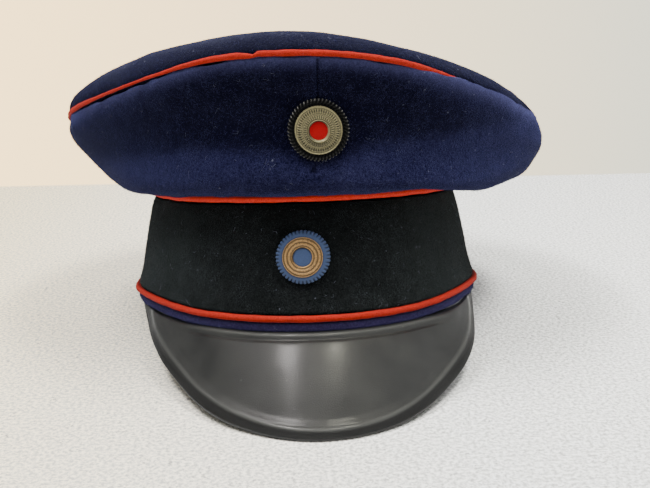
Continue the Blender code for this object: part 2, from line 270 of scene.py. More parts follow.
def wander(places, wavelength, seed):
    """Smooth noise between about -1 and 1."""
    shift = Vector((seed * 3.1, seed * 1.7, -seed * 2.3))
    return np.array([noise.noise(Vector(place) / wavelength + shift) for place in places])


def unit(vectors):
    return vectors / np.linalg.norm(vectors, axis=1)[:, None]


# Meshes


def finished(mesh, name, material, node=None):
    """The piece for a finished mesh: it rides on the cap, and may stand for a node."""
    places = points_of(mesh)
    places[:, 2] = np.maximum(places[:, 2], 0)
    put_points(mesh, places)
    mesh.name = name
    mesh.materials.clear()
    mesh.materials.append(material)
    piece = bpy.data.objects.new(name, mesh)
    bpy.context.scene.collection.objects.link(piece)
    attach(piece, "root")
    if node:
        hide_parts(node)
    return piece


def mesh_from(bm, name):
    mesh = bpy.data.meshes.new(name)
    bm.to_mesh(mesh)
    bm.free()
    mesh.shade_smooth()
    return mesh


def subdivided(mesh, levels):
    holder = bpy.data.objects.new("holder", mesh)
    bpy.context.scene.collection.objects.link(holder)
    modifier = holder.modifiers.new("Smooth", "SUBSURF")
    modifier.levels = modifier.render_levels = levels
    evaluated = holder.evaluated_get(bpy.context.evaluated_depsgraph_get())
    dense = bpy.data.meshes.new_from_object(evaluated)
    bpy.data.objects.remove(holder)
    dense.shade_smooth()
    return dense


def dense_copy(node, levels=2):
    """A smooth copy of a node: its loose triangles are merged, paired and subdivided."""
    bm = bmesh.new()
    bm.from_mesh(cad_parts[node].data)
    bmesh.ops.remove_doubles(bm, verts=bm.verts, dist=MERGE)
    bmesh.ops.join_triangles(
        bm,
        faces=bm.faces,
        angle_face_threshold=radians(60),
        angle_shape_threshold=radians(150),
        topology_influence=1.0,
    )
    return subdivided(mesh_from(bm, node + "_dense"), levels)


def refined(mesh, chosen):
    """Splits the edges whose two ends are chosen, once."""
    bm = bmesh.new()
    bm.from_mesh(mesh)
    bm.verts.ensure_lookup_table()
    edges = [e for e in bm.edges if chosen[e.verts[0].index] and chosen[e.verts[1].index]]
    bmesh.ops.subdivide_edges(bm, edges=edges, cuts=1, use_grid_fill=True)
    name = mesh.name
    bpy.data.meshes.remove(mesh)
    return mesh_from(bm, name)


def sculpt(mesh, *moves):
    """Moves every vertex by what each move gives for its place and normal in the cap's frame."""
    for move in moves:
        places = places_of(mesh)
        put_points(mesh, from_cap(places + move(places, directions_of(mesh))))


def uneven(depth, wavelength, seed):
    def move(places, normals):
        return normals * (wander(places, wavelength, seed) * depth)[:, None]

    return move


def puckered(node, depth, wavelength, seed):
    """Short ripples across a sewn seam, which fade within a centimetre of it."""

    def move(places, normals):
        along = angles_of(places) * np.hypot(places[:, 0], places[:, 1])
        wave = np.array([noise.noise(Vector((a / wavelength, seed, 0.5))) for a in along])
        fade = hill(distance_to_node(places, node), 0.0020, 0.0080)
        return normals * (wave * fade * depth * 2)[:, None]

    return move


def store(mesh, name, values):
    attribute = mesh.attributes.new(name, "FLOAT", "POINT")
    attribute.data.foreach_set("value", np.asarray(values, dtype=np.float32))


# Shader nodes


class Graph:
    """A node tree that nodes are added to by kind, with their settings, values and links."""

    def __init__(self, tree):
        self.tree = tree

    def add(self, kind, links=None, values=None, **settings):
        node = self.tree.nodes.new(kind if kind.startswith("NodeGroup") else "ShaderNode" + kind)
        for name, value in settings.items():
            setattr(node, name, value)
        for name, value in (values or {}).items():
            node.inputs[name].default_value = value
        for name, source in (links or {}).items():
            self.tree.links.new(source, node.inputs[name])
        return node

    def feed(self, socket, value):
        if isinstance(value, bpy.types.NodeSocket):
            self.tree.links.new(value, socket)
        elif isinstance(value, (int, float)):
            socket.default_value = value
        else:
            socket.default_value = (*value, 1)

    def math(self, operation, first, second=0.0):
        node = self.add("Math", operation=operation)
        self.feed(node.inputs[0], first)
        self.feed(node.inputs[1], second)
        return node.outputs[0]

    def times(self, first, second):
        return self.math("MULTIPLY", first, second)

    def plus(self, first, second):
        return self.math("ADD", first, second)

    def larger(self, first, second):
        return self.math("MAXIMUM", first, second)

    def mix(self, factor, first, second):
        node = self.add("Mix", data_type="RGBA", clamp_factor=True)
        for place, value in ((0, factor), (6, first), (7, second)):
            self.feed(node.inputs[place], value)
        return node.outputs[2]

    def ramp(self, value, low, high, out_low=0.0, out_high=1.0):
        ends = {"From Min": low, "From Max": high, "To Min": out_low, "To Max": out_high}
        return self.add("MapRange", links={"Value": value}, values=ends, clamp=True).outputs[0]

    def noise(self, vector, scale, detail=2.0, roughness=0.5, distortion=0.0):
        looks = {"Scale": scale, "Detail": detail, "Roughness": roughness, "Distortion": distortion}
        return self.add("TexNoise", links={"Vector": vector}, values=looks).outputs["Fac"]

    def cells(self, vector, scale, feature="F1", output="Distance"):
        node = self.add("TexVoronoi", links={"Vector": vector}, feature=feature)
        node.inputs["Scale"].default_value = scale
        return node.outputs[output]

    def shifted(self, vector, shift):
        node = self.add("VectorMath", links={0: vector}, operation="ADD")
        node.inputs[1].default_value = shift
        return node.outputs[0]

    def attribute(self, name):
        return self.add("Attribute", attribute_name=name).outputs["Fac"]

    def bump(self, height, distance, strength=1.0):
        values = {"Distance": distance, "Strength": strength}
        return self.add("Bump", links={"Height": height}, values=values).outputs[0]

    def use(self, group, **values):
        node = self.add("Group", node_tree=group)
        for name, value in values.items():
            self.feed(node.inputs[name], value)
        return node.outputs


def new_group(name, **inputs):
    """(graph, inputs) of a new node group, whose inputs are named with the kinds of socket."""
    tree = bpy.data.node_groups.new(name, "ShaderNodeTree")
    for socket, kind in inputs.items():
        tree.interface.new_socket(socket, in_out="INPUT", socket_type="NodeSocket" + kind)
    graph = Graph(tree)
    return graph, graph.add("NodeGroupInput").outputs


def with_outputs(graph, **outputs):
    """The group's tree, with a named output socket for each value."""
    for socket in outputs:
        graph.tree.interface.new_socket(socket, in_out="OUTPUT", socket_type="NodeSocketFloat")
    graph.add("NodeGroupOutput", links=outputs)
    return graph.tree


def nap_group():
    """Felted wool: standing nap, curled loose hairs, slow clouds and pale specks."""
    graph, source = new_group("Wool nap", Coordinates="Vector", Size="Float")
    scaled = graph.add("VectorMath", links={0: source["Coordinates"]}, operation="SCALE")
    graph.tree.links.new(source["Size"], scaled.inputs["Scale"])
    place = scaled.outputs[0]
    fine = graph.noise(place, 1.35, detail=5, roughness=0.72)
    tufts = graph.noise(place, 0.42, detail=2, roughness=0.6)
    hairs = []
    for shift, scale in (((7, 0, 0), 0.62), ((0, 9, 3), 0.95)):
        waves = graph.noise(graph.shifted(place, shift), scale, detail=1, distortion=0.9)
        line = graph.math("ABSOLUTE", graph.math("SUBTRACT", waves, 0.5))
        hairs.append(graph.ramp(line, 0.001, 0.006, 1.0, 0.0))
    where = graph.ramp(graph.noise(graph.shifted(place, (3, 3, 3)), 0.12, detail=2), 0.42, 0.68)
    strong = graph.times(graph.larger(hairs[0], hairs[1]), where)
    height = graph.plus(graph.times(fine, 0.9), graph.times(tufts, 0.2))
    height = graph.plus(height, graph.times(strong, 0.25))
    clouds = graph.noise(place, 0.035, detail=3, roughness=0.55)
    specks = graph.ramp(graph.cells(graph.shifted(place, (1, 5, 2)), 0.11), 0.035, 0.055, 1.0, 0.0)
    return with_outputs(graph, Nap=height, Hairs=strong, Clouds=clouds, Specks=specks)


def wear_group():
    """Slow patches and fine grain that dull a smooth surface, and a few pale dust specks."""
    graph, source = new_group("Wear", Coordinates="Vector")
    place = source["Coordinates"]
    patches = graph.ramp(graph.noise(place, 55, detail=4, roughness=0.6), 0.35, 0.7)
    grain = graph.noise(place, 2200, detail=3, roughness=0.6)
    dust = graph.ramp(graph.cells(place, 150), 0.02, 0.045, 1.0, 0.0)
    return with_outputs(graph, Patches=patches, Grain=grain, Dust=dust)


GROUPS = {"Wool nap": nap_group, "Wear": wear_group}


def group(name):
    return bpy.data.node_groups.get(name) or GROUPS[name]()


SOCKET_NAMES = {
    "roughness": "Roughness",
    "specular": "Specular IOR Level",
    "sheen": "Sheen Weight",
    "sheen_roughness": "Sheen Roughness",
    "sheen_tint": "Sheen Tint",
    "coat": "Coat Weight",
    "coat_roughness": "Coat Roughness",
}


def new_material(name, **constants):
    """(material, graph, shader inputs, object coordinates), with the shader's constants set."""
    material = bpy.data.materials.new(name)
    material.use_nodes = True
    material.node_tree.nodes.clear()
    graph = Graph(material.node_tree)
    values = {SOCKET_NAMES[key]: value for key, value in constants.items()}
    shader = graph.add("BsdfPrincipled", values=values)
    graph.add("OutputMaterial", links={"Surface": shader.outputs[0]})
    return material, graph, shader.inputs, graph.add("TexCoord").outputs["Object"]


def toned(colour, share):
    """The colour made darker or brighter by a share."""
    return tuple(min(1, c * share) for c in colour)


# Colours of the sheen on the two cloths, the table's pits and the dust on the peak
NAVY_TINT = (0.16, 0.18, 0.52)
BLACK_TINT = (0.19, 0.23, 0.23)
PIT_GREYS = ((0.34, 0.34, 0.32), (0.1, 0.1, 0.09))
DUST = (0.2, 0.2, 0.18)
# Scale of the nap on cloth and on the cords' covers
CLOTH_GRAIN = 1000.0
CORD_GRAIN = 1600.0


def wool(name, deep, nap, cloth_looks, tint, sheen=0.30):
    """Napped wool cloth, with shade painted into its hollows and creases, and light and sheen
    painted where they fall.
    """
    lint = cloth_looks.lint
    material, graph, shader, place = new_material(
        name, roughness=0.9, specular=0.04, sheen=sheen, sheen_roughness=0.25, sheen_tint=(*tint, 1)
    )
    cloth = graph.use(group("Wool nap"), Coordinates=place, Size=CLOTH_GRAIN)
    cloud = graph.ramp(cloth["Clouds"], 0.3, 0.7, 0.93, 1.05)
    shade = graph.ramp(graph.times(cloth["Nap"], cloud), 0.44, 0.70)
    # Painted shade: the colour of the shaded places, where painted_light is 0
    flat = graph.mix(shade, toned(deep, 0.45), [n * p for n, p in zip(nap, cloth_looks.shade_share)])
    # painted_light brings in the colour of the lit places: light painted onto the cloth
    colour = graph.mix(graph.attribute("painted_light"), flat, graph.mix(shade, deep, nap))
    # Painted sheen: a lighter colour where painted_sheen is high
    painted_sheen = graph.times(graph.attribute("painted_sheen"), graph.ramp(shade, 0, 1, 0.6, 1.0))
    colour = graph.mix(painted_sheen, colour, [n * 2.6 + 0.014 for n in nap])
    colour = graph.mix(graph.times(cloth["Hairs"], 0.16), colour, lint)
    colour = graph.mix(graph.times(cloth["Specks"], 0.3), colour, lint)
    # The seam mask paints shade into the creases beside the cords
    colour = graph.mix(graph.attribute("seam"), colour, toned(deep, 0.25))
    graph.feed(shader["Base Color"], colour)
    graph.feed(shader["Normal"], graph.bump(cloth["Nap"], 0.0008))
    return material


def felt(name, red, deep_and_shaded_red, lint):
    """The cord's felted cover, with shade painted where it turns into its seam."""
    material, graph, shader, place = new_material(
        name, roughness=0.85, specular=0.08, sheen=0.06, sheen_roughness=0.4,
        sheen_tint=(1.0, 0.35, 0.28, 1),
    )
    cloth = graph.use(group("Wool nap"), Coordinates=place, Size=CORD_GRAIN)
    shade = graph.ramp(cloth["Nap"], 0.40, 0.75, 0.85, 0.0)
    colour = graph.mix(graph.larger(shade, graph.attribute("painted_seam_shade")), red, deep_and_shaded_red)
    colour = graph.mix(graph.times(cloth["Hairs"], 0.18), colour, lint)
    graph.feed(shader["Base Color"], colour)
    graph.feed(shader["Normal"], graph.bump(cloth["Nap"], 0.0004))
    return material


def leather(lacquer, bloom):
    """Worn lacquer on leather: crackled, greyed in patches, with a speckled gloss, dust, painted
    highlights and painted shade.
    """
    material, graph, shader, place = new_material(
        "lacquered_leather", specular=0.5, coat_roughness=0.22
    )
    wear = graph.use(group("Wear"), Coordinates=place)
    crackle = graph.ramp(graph.cells(place, 1150, "DISTANCE_TO_EDGE"), 0.0, 0.12)
    fine = graph.ramp(graph.cells(place, 2600, "DISTANCE_TO_EDGE"), 0.0, 0.15)
    outside = graph.attribute("painted_band_shade")
    colour = graph.mix(wear["Patches"], lacquer, bloom)
    colour = graph.mix(graph.ramp(crackle, 0.0, 1.0, 0.45, 0.0), colour, bloom)
    # The rubbed mask paints highlights along the roll below the hem and on the ridge, where the
    # lacquer is also rubbed
    colour = graph.mix(graph.attribute("rubbed"), colour, toned(bloom, 2.6))
    # Painted shade on the band outside the ridge
    painted_band_shade = graph.times(outside, 0.8)
    colour = graph.mix(painted_band_shade, colour, toned(lacquer, 0.3))
    colour = graph.mix(graph.times(wear["Dust"], 0.5), colour, DUST)
    graph.feed(shader["Base Color"], colour)
    rough = graph.ramp(wear["Patches"], 0.0, 1.0, 0.28, 0.38)
    rough = graph.plus(rough, graph.ramp(fine, 0, 1, 0.1, 0.0))
    graph.feed(shader["Roughness"], graph.plus(rough, graph.ramp(outside, 0, 1, 0, 0.2)))
    height = graph.plus(crackle, graph.times(fine, 0.5))
    graph.feed(shader["Normal"], graph.bump(height, 0.00003))
    speckle = graph.noise(place, 1900, detail=2, roughness=0.7)
    coat = graph.ramp(speckle, 0.38, 0.66, 0.12, 0.62)
    inside = graph.ramp(outside, 0, 1, 1, 0)
    graph.feed(shader["Coat Weight"], graph.times(coat, inside))
    return material


def metal(name, bright, dull, metallic, roughness, specular=0.5):
    """Worn metal or paint, dull where grime_and_shading is high: in its dirt, tarnish and wear, and
    in painted shade.
    """
    material, graph, shader, place = new_material(name, specular=specular)
    wear = graph.use(group("Wear"), Coordinates=place)
    grain = graph.ramp(wear["Grain"], 0.45, 0.7, 0, 0.35)
    patches = graph.plus(graph.ramp(wear["Patches"], 0, 1, 0, 0.25), grain)
    grime_and_shading = graph.larger(graph.attribute("grime_and_shading"), patches)
    graph.feed(shader["Base Color"], graph.mix(grime_and_shading, bright, dull))
    graph.feed(shader["Metallic"], graph.ramp(grime_and_shading, 0, 1, metallic, metallic * 0.4))
    graph.feed(shader["Roughness"], graph.ramp(grime_and_shading, 0, 1, roughness, roughness + 0.3))
    graph.feed(shader["Normal"], graph.bump(wear["Grain"], 0.00003))
    return material


def fibre(name, colour):
    """A single fibre's colour, which changes a little from place to place."""
    material, graph, shader, place = new_material(name, roughness=0.8, specular=0.1)
    tone = graph.ramp(graph.noise(place, 400), 0.3, 0.7, 0.0, 1.0)
    graph.feed(shader["Base Color"], graph.mix(tone, toned(colour, 0.6), colour))
    return material


# Cloth

# Share of the cloth's unevenness, wavelength and seed of the soft waves in each piece
WAVES = {
    "crown_side": ((1.0, 0.030, 1), (0.4, 0.011, 2)),
    "crown_top": ((1.0, 0.034, 5), (0.4, 0.012, 6)),
    "band": ((0.6, 0.028, 8), (0.25, 0.010, 9)),
    "hem": ((0.3, 0.012, 12),),
}
# Cord, share of the cloth's pucker, wavelength and seed of the ripples beside each piece's seams
RIPPLES = {
    "crown_side": (("top_piping", 1.0, 0.0065, 3), ("crown_piping", 1.0, 0.0080, 4)),
    "crown_top": (("top_piping", 1.0, 0.0065, 7),),
    "band": (("crown_piping", 0.6, 0.008, 10), ("hem_piping", 0.6, 0.008, 11)),
}


def waved(node, cloth):
    return [uneven(cloth.unevenness * share, wave, seed) for share, wave, seed in WAVES[node]]


def rippled(node, cloth):
    return [
        puckered(cord, cloth.pucker * share, wave, seed)
        for cord, share, wave, seed in RIPPLES[node]
    ]


def add_cloth(mesh, node, moves, material, slot, **masks):
    """A finished cloth piece: it is moved, its masks are stored, and then it settles."""
    sculpt(mesh, *moves)
    places = places_of(mesh)
    for name, mask in masks.items():
        store(mesh, name, mask(places))
    sculpt(mesh, settled(node))
    return finished(mesh, node + "_cloth", material, node)


def beside(nodes, reach=0.0018):
    """A mask of painted shade in the crease beside the cords, 0 away from them."""

    def mask(places):
        near = np.minimum.reduce([distance_to_node(places, node) for node in nodes])
        return 0.95 * (1 - step(near, 0.0005, reach))

    return mask


# Crown

CROWN_MIDDLE = np.array([0.0, 0.01, 0.075])
UPPER_SHIFT = 0.0026
SEAM_HEIGHTS = (0.084, 0.091)
DENT = np.array([-0.0002, 0.0618])
FRONT_CUTS = (-0.0045, -0.0030, -0.0016, -0.0008, 0.0, 0.0008, 0.0016, 0.0030, 0.0045)
CROWN = ("crown_side", "crown_top", "top_piping")
WAIST = ("crown_side", "band", "crown_piping")
RIM = ("band", "hem", "hem_piping")
EVERYWHERE = 9999
REFINED_REACH = 0.009
PAINTED_SHEEN_REACH = 0.0072
TOP_SHEEN = 0.10
TOP_CREASE = 0.0065
# Light is painted on the side under this line, shade over it.
# Angle in degrees and height in mm of the line over the side's lower bulge
BULGE_LINE = (
    (-180, 66), (-149, 66.5), (-122, 71), (-99, 68.5), (-84, 66), (-73, 72), (-52, 74), (-37, 78),
    (-10, 85), (40, 80), (180, 66),
)
# Where the worn cap has settled: pieces, the cord that they follow, angle and span in degrees,
# then in mm how far out and up, at which distance from the cord and over what reach.
SAGS = (
    (CROWN, "top_piping", -148, 24, 0.0, -1.0, 0, 14),
    (CROWN, "top_piping", -114, 15, 0.0, 0.9, 0, 14),
    (CROWN, "top_piping", -64, 30, 0.0, 1.1, 0, 14),
    (CROWN, "top_piping", -6, 42, -2.6, -1.0, 0, 16),
    (("top_piping",), "top_piping", 178, 34, -1.2, 0.0, 0, 5),
    (("crown_side",), "top_piping", 178, 34, -1.2, 0.0, 0, 7),
    (("crown_side",), "top_piping", 0, 46, 2.2, 0.4, 9, 11),
    (("crown_side",), "top_piping", 0, 50, 1.5, 0.0, 3, 7),
    (("crown_top",), "top_piping", -6, 44, 3.0, -1.2, 2, 9),
    (("crown_top",), "top_piping", 175, 55, 3.4, 0.2, 7, 9),
    (("crown_top",), "top_piping", -35, 55, 0.0, -0.8, 20, 18),
    (("crown_top",), "top_piping", 0, EVERYWHERE, 0.0, 1.3, 18, 18),
    (WAIST, "crown_piping", -88, 62, 0.0, 1.1, 0, 12),
    (("crown_side",), "crown_piping", -85, 38, 0.0, 0.6, 0, 7),
    (("crown_side",), "crown_piping", -54, 24, 0.0, 3.2, 3, 20),
    (("crown_side",), "crown_piping", -142, 22, 0.0, -0.9, 0, 7),
    (("crown_side",), "crown_piping", -165, 50, 1.3, -1.4, 20, 17),
    (("crown_side",), "crown_piping", -2, 34, -1.6, 0.0, 22, 13),
    (("crown_side",), "crown_piping", -15, 28, 0.0, -2.4, 9, 16),
    (RIM, "hem_piping", -152, 32, 0.0, 1.4, 0, 12),
    (RIM, "hem_piping", -33, 34, 0.0, 1.6, 0, 12),
    (("hem",), "hem_piping", 0, EVERYWHERE, 0.0, -0.5, 5, 4),
)


def outward_of(places):
    return unit(places * np.array([1, 1, 0]))


def settled(node):
    """Moves a piece as the worn cap has settled."""

    def move(places, _normals):
        angles = angles_of(places)
        out_and_up = np.zeros((2, len(places)))
        far = {}
        for pieces, cord, angle, span, out, up, at, reach in SAGS:
            if node in pieces:
                if cord not in far:
                    far[cord] = distance_to_node(places, cord) * 1000
                where = hill(turned_by(angles, radians(angle)), 0, radians(span))
                share = where * hill(far[cord], at, reach) / 1000
                out_and_up += np.outer((out, up), share)
        moved = outward_of(places) * out_and_up[0][:, None]
        moved[:, 2] += out_and_up[1]
        return moved

    return move


def lip_share(places):
    """1 on the right, where the side's edge hides its cord."""
    angles = np.degrees(angles_of(places))
    return step(angles, -70, -51) * (1 - step(angles, -14, 8))


def lipped(depth):
    """On the right the side's upper edge rolls out and up over its cord."""

    def move(places, _normals):
        near = hill(distance_to_node(places, "top_piping"), 0.0008, 0.0046)
        moved = outward_of(places) * 0.5
        moved[:, 2] = 1.0
        return moved * (lip_share(places) * near * depth)[:, None]

    return move


def seam_line(places):
    """1 on the front seam above the cockade, 0 beside and below it."""
    off = np.abs(places[:, 0] - UPPER_SHIFT)
    return off, step(places[:, 2], *SEAM_HEIGHTS) * step(-places[:, 1], 0.02, 0.05)


def seamed(depth):
    """The front seam: a narrow groove between two soft shoulders, and a small dent below."""

    def move(places, normals):
        off, where = seam_line(places)
        shape = (-hill(off, 0, 0.0016) + 0.25 * hill(off, 0.0032, 0.0022)) * where
        return normals * ((shape - dented(places)) * (normals[:, 1] < 0.2) * depth)[:, None]

    return move


def dented(places):
    far = np.hypot(places[:, 0] - DENT[0], places[:, 2] - DENT[1])
    return hill(far, 0, 0.0022) * (places[:, 1] < -0.03)


def painted_light_side(places):
    """Painted light: high on the lower bulge, which faces up, and near the upper edge; 0 in the
    hollow, which faces down.
    """
    angles = np.degrees(angles_of(places))
    line = np.interp(angles, *zip(*BULGE_LINE)) / 1000
    reach = np.interp(np.abs((angles + 270) % 360 - 180), (20, 75), (0.010, 0.018))
    edge = hill(distance_to_node(places, "top_piping") / reach, 0, 1)
    return np.maximum(1 - step(places[:, 2] - line, -0.0040, 0.0035), edge * 0.75)


def side_crease_shade(places):
    """Painted shade in the lower seam's crease, in the front seam and in the dent."""
    off, where = seam_line(places)
    crease = np.maximum(hill(off, 0, 0.0009) * where * 0.6, dented(places) * 0.8)
    return np.maximum(beside(("crown_piping",))(places), crease)


def painted_sheen_edge(places):
    """Painted sheen on the side's upper edge: 1 at the top cord, fading below it."""
    near = distance_to_node(places, "top_piping")
    return (1 - np.clip(near / PAINTED_SHEEN_REACH, 0, 1)) ** 2


def painted_light_top(places):
    """Painted light on the top: rises from the top's seam, is less in the middle and on the right
    over the rolled edge.
    """
    rise = distance_to_node(places, "top_piping")
    high = 0.85 * step(rise, 0.005, 0.022)
    high = high * (1 - 0.5 * step(rise, 0.022, 0.040))
    return high * (1 - 0.4 * lip_share(places))


def cut_front(mesh):
    """Rows of vertices beside the front seam, so that its groove is narrow."""
    bm = bmesh.new()
    bm.from_mesh(mesh)
    right = Vector(AXES[0])
    for off in FRONT_CUTS:
        at = Vector(from_cap(np.array([UPPER_SHIFT + off, 0, 0])))
        front = [f for f in bm.faces if f.calc_center_median().y < -0.02]
        edges = {e for f in front for e in f.edges}
        verts = {v for f in front for v in f.verts}
        geom = front + list(edges) + list(verts)
        bmesh.ops.bisect_plane(bm, geom=geom, dist=MERGE, plane_co=at, plane_no=right)
    return mesh_from(bm, "crown_side_dense")


class CAP_OT_crown(bpy.types.Operator):
    """Make the crown's side and top"""

    bl_idname = "cap.crown"
    bl_label = "Crown"

    def execute(self, context):
        cloth = context.scene.cap_cloth
        navy = wool("navy_wool", cloth.navy, cloth.navy_nap, cloth, NAVY_TINT)
        side = cut_front(dense_copy("crown_side"))
        side = refined(side, distance_to_node(places_of(side), "top_piping") < REFINED_REACH)
        moves = [*waved("crown_side", cloth), seamed(cloth.groove)]
        moves += [*rippled("crown_side", cloth), lipped(cloth.lip)]
        masks = {"seam": side_crease_shade, "painted_light": painted_light_side, "painted_sheen": painted_sheen_edge}
        add_cloth(side, "crown_side", moves, navy, "navy_cloth", **masks)
        # A lighter copy of the navy wool for the top: painted light and sheen, with less sheen in
        # its shader
        deep = [c * 1.6 + 0.003 for c in cloth.navy]
        paler = wool("lit_navy_top_wool", deep, cloth.lit_top_nap, cloth, NAVY_TINT, TOP_SHEEN)
        moves = [*waved("crown_top", cloth), *rippled("crown_top", cloth)]
        masks = {"seam": beside(("top_piping",), TOP_CREASE), "painted_light": painted_light_top}
        add_cloth(dense_copy("crown_top"), "crown_top", moves, paler, "navy_cloth", **masks)
        return {"FINISHED"}


def painted_light_band(places):
    """Painted light on the band: even, higher at its foot, away from the crown's shade, and to the
    right.
    """
    foot = hill(distance_to_node(places, "hem_piping"), 0, 0.014)
    right = step(places[:, 0], 0.01, 0.06)
    return 0.55 + 0.2 * foot + 0.45 * right


class CAP_OT_band(bpy.types.Operator):
    """Make the band and the hem"""

    bl_idname = "cap.band"
    bl_label = "Band and hem"

    def execute(self, context):
        cloth = context.scene.cap_cloth
        black = wool("black_wool", cloth.black, cloth.black_nap, cloth, BLACK_TINT)
        # The hem's wool is a lit copy of the navy wool: painted light
        navy = wool("lit_hem_wool", cloth.hem, cloth.lit_hem_nap, cloth, NAVY_TINT)
        moves = [*waved("band", cloth), *rippled("band", cloth)]
        masks = {"seam": beside(("crown_piping", "hem_piping")), "painted_light": painted_light_band}
        add_cloth(dense_copy("band"), "band", moves, black, "black_cloth", **masks)
        masks = {"seam": beside(("hem_piping",)), "painted_light": lambda places: np.ones(len(places))}
        add_cloth(dense_copy("hem"), "hem", waved("hem", cloth), navy, "navy_cloth", **masks)
        return {"FINISHED"}


# Cords

JOIN_ANGLE = radians(-102)
CORDS = ("top_piping", "crown_piping", "hem_piping")
EXTRA_SWELL = {"top_piping": 0.0, "crown_piping": 0.0001, "hem_piping": 0.0001}
# Inward facing at which each cord's painted shade starts and where it is full
SEAM_SHADE_FROM = {"top_piping": (-0.85, 0.0), "crown_piping": (-0.3, 0.3), "hem_piping": (-0.85, 0.0)}
# Depth, wavelength and first seed of the uneven cover
CORD_WAVES = ((0.00022, 0.006, 20), (0.00010, 0.0022, 30))
THIN_ANGLE = -138
THIN_SPAN = 30
THINNING = 0.0007


def swollen(depth):
    def move(_places, normals):
        return normals * depth

    return move


def thinned(places, normals):
    """The top cord is thinner on the left."""
    where = hill(turned_by(angles_of(places), radians(THIN_ANGLE)), 0, radians(THIN_SPAN))
    return -normals * (where * THINNING)[:, None]


def joined(depth):
    """The cord's two ends meet at the front: the left one narrows and lies a little lower."""

    def move(places, normals):
        off = np.degrees(turned_by(angles_of(places), JOIN_ANGLE))
        pinch = 0.7 * hill(off, -0.5, 1.0) + 0.2 * hill(off, -2.0, 2.4) * (off < 0)
        moved = -normals * (pinch * depth)[:, None]
        moved[:, 2] -= hill(off, 0, 5) * (off < 0) * depth * 0.8
        moved[:, 2] += hill(off, 0, 5) * (off >= 0) * depth * 0.5
        return moved

    return move


def sunk_right(places, _normals):
    """Under the rolled edge on the right the cord lies deeper."""
    moved = -outward_of(places) * 0.0026
    moved[:, 2] = -0.0006
    return moved * lip_share(places)[:, None]


class CAP_OT_cords(bpy.types.Operator):
    """Make the three cords"""

    bl_idname = "cap.cords"
    bl_label = "Cords"

    def execute(self, context):
        cords = context.scene.cap_cords
        lint = context.scene.cap_cloth.lint
        material = felt("red_felt", cords.red, cords.deep_and_shaded_red, lint)
        # A lit copy of the red felt for the crown's cord, which lies in the crown's shade: painted
        # light
        bright = felt("lit_red_felt", toned(cords.red, 2.1), toned(cords.deep_and_shaded_red, 2.0), lint)
        for i, node in enumerate(CORDS):
            mesh = dense_copy(node)
            waves = [uneven(depth, wave, seed + i) for depth, wave, seed in CORD_WAVES]
            sculpt(mesh, swollen(cords.swell + EXTRA_SWELL[node]), *waves)
            if node == "top_piping":
                sculpt(mesh, thinned, joined(cords.join_step), sunk_right)
            # Painted shade where the cord faces into its seam
            facing = (directions_of(mesh) * outward_of(places_of(mesh))).sum(1)
            store(mesh, "painted_seam_shade", step(-facing, *SEAM_SHADE_FROM[node]))
            sculpt(mesh, settled(node))
            cover = bright if node == "crown_piping" else material
            finished(mesh, node + "_cord", cover, node)
        return {"FINISHED"}


# Peak

# Angle between the points found along the free edge; depth, wavelength and seed of the soft wave
EDGE_STEP = radians(0.7)
PEAK_WAVE = (0.00025, 0.02, 40)
# Height over the leather against the distance from the edge, both in mm: the solid's plain bead,
# and the worn edge with its thin ridge and the band that falls away outside it.
PLAIN_BEAD = (
    (0.0, 0.6, 1.1, 1.7, 2.4, 3.0, 3.7, 4.3, 4.8, 5.4, 6.1, 7.0),
    (0.1, 0.44, 0.60, 0.70, 0.75, 0.75, 0.69, 0.58, 0.44, 0.28, 0.14, 0.0),
)
WORN_EDGE = ((0.0, 1.0, 2.4, 3.8, 4.8, 6.0, 9.0), (0.0, 0.25, 0.4, 0.74, 0.8, 0.45, 0.0))
# Degrees from the front, and the share of its front size that the plain bead has there
BEAD_SHARES = (
    (0, 9, 14, 21, 28, 35, 42, 49, 60),
    (1.0, 1.0, 0.88, 0.75, 0.58, 0.45, 0.33, 0.23, 0.12),
)
# Angle and span in degrees, and how far out in mm the worn peak's outline lies.
PEAK_SAGS = (
    (-140, 20, 1.2), (-120, 14, -1.4), (-104, 12, -0.6), (-92, 12, 0.5), (-77, 10, -0.6),
    (-66, 12, -1.6), (-50, 14, 1.0), (-42, 20, 1.5),
)


def profile(distances, knots):
    """A soft curve through (distance, height) knots, in metres."""
    close = np.linspace(0, 10, 101)
    heights = np.pad(np.interp(close, *knots), 4, "edge")
    heights = np.convolve(heights, np.ones(9) / 9, "valid")
    return np.interp(distances * 1000, close, heights) / 1000


def outer_edge(mesh):
    """Close points along the peak's free edge, smoothed."""
    places = places_of(mesh)
    angles = turned_by(angles_of(places), FRONT)
    radii = np.hypot(places[:, 0], places[:, 1])
    bins = np.round(angles / EDGE_STEP).astype(int)
    marks = np.unique(bins)
    edge = np.array([places[bins == b][radii[bins == b].argmax()] for b in marks])
    for _ in range(6):
        edge[1:-1] = (edge[:-2] + 2 * edge[1:-1] + edge[2:]) / 4
    close = np.linspace(0, len(edge) - 1, len(edge) * 12)
    return np.column_stack([np.interp(close, range(len(edge)), axis) for axis in edge.T])


def facing_up(normals):
    return step(normals[:, 2], 0.0, 0.3)


def front_share(places):
    """1 at the front of the cap, 0 towards the peak's two ends."""
    return step(np.cos(angles_of(places) - FRONT), 0.72, 0.93)


def narrowing(places):
    """How much closer to the edge the worn ridge lies at the front."""
    return 0.0010 * hill(turned_by(angles_of(places), FRONT), 0, radians(24))


def shouldered(height):
    """A rounded shoulder below the hem, with a shallow fold outside it."""

    def move(places, normals):
        from_hem = distance_to_node(places, "hem")
        shape = hill(from_hem, 0.0014, 0.0020) - hill(from_hem, 0.0040, 0.0013) * 0.6
        return normals * (shape * (facing_up(normals) * front_share(places)) * height)[:, None]

    return move


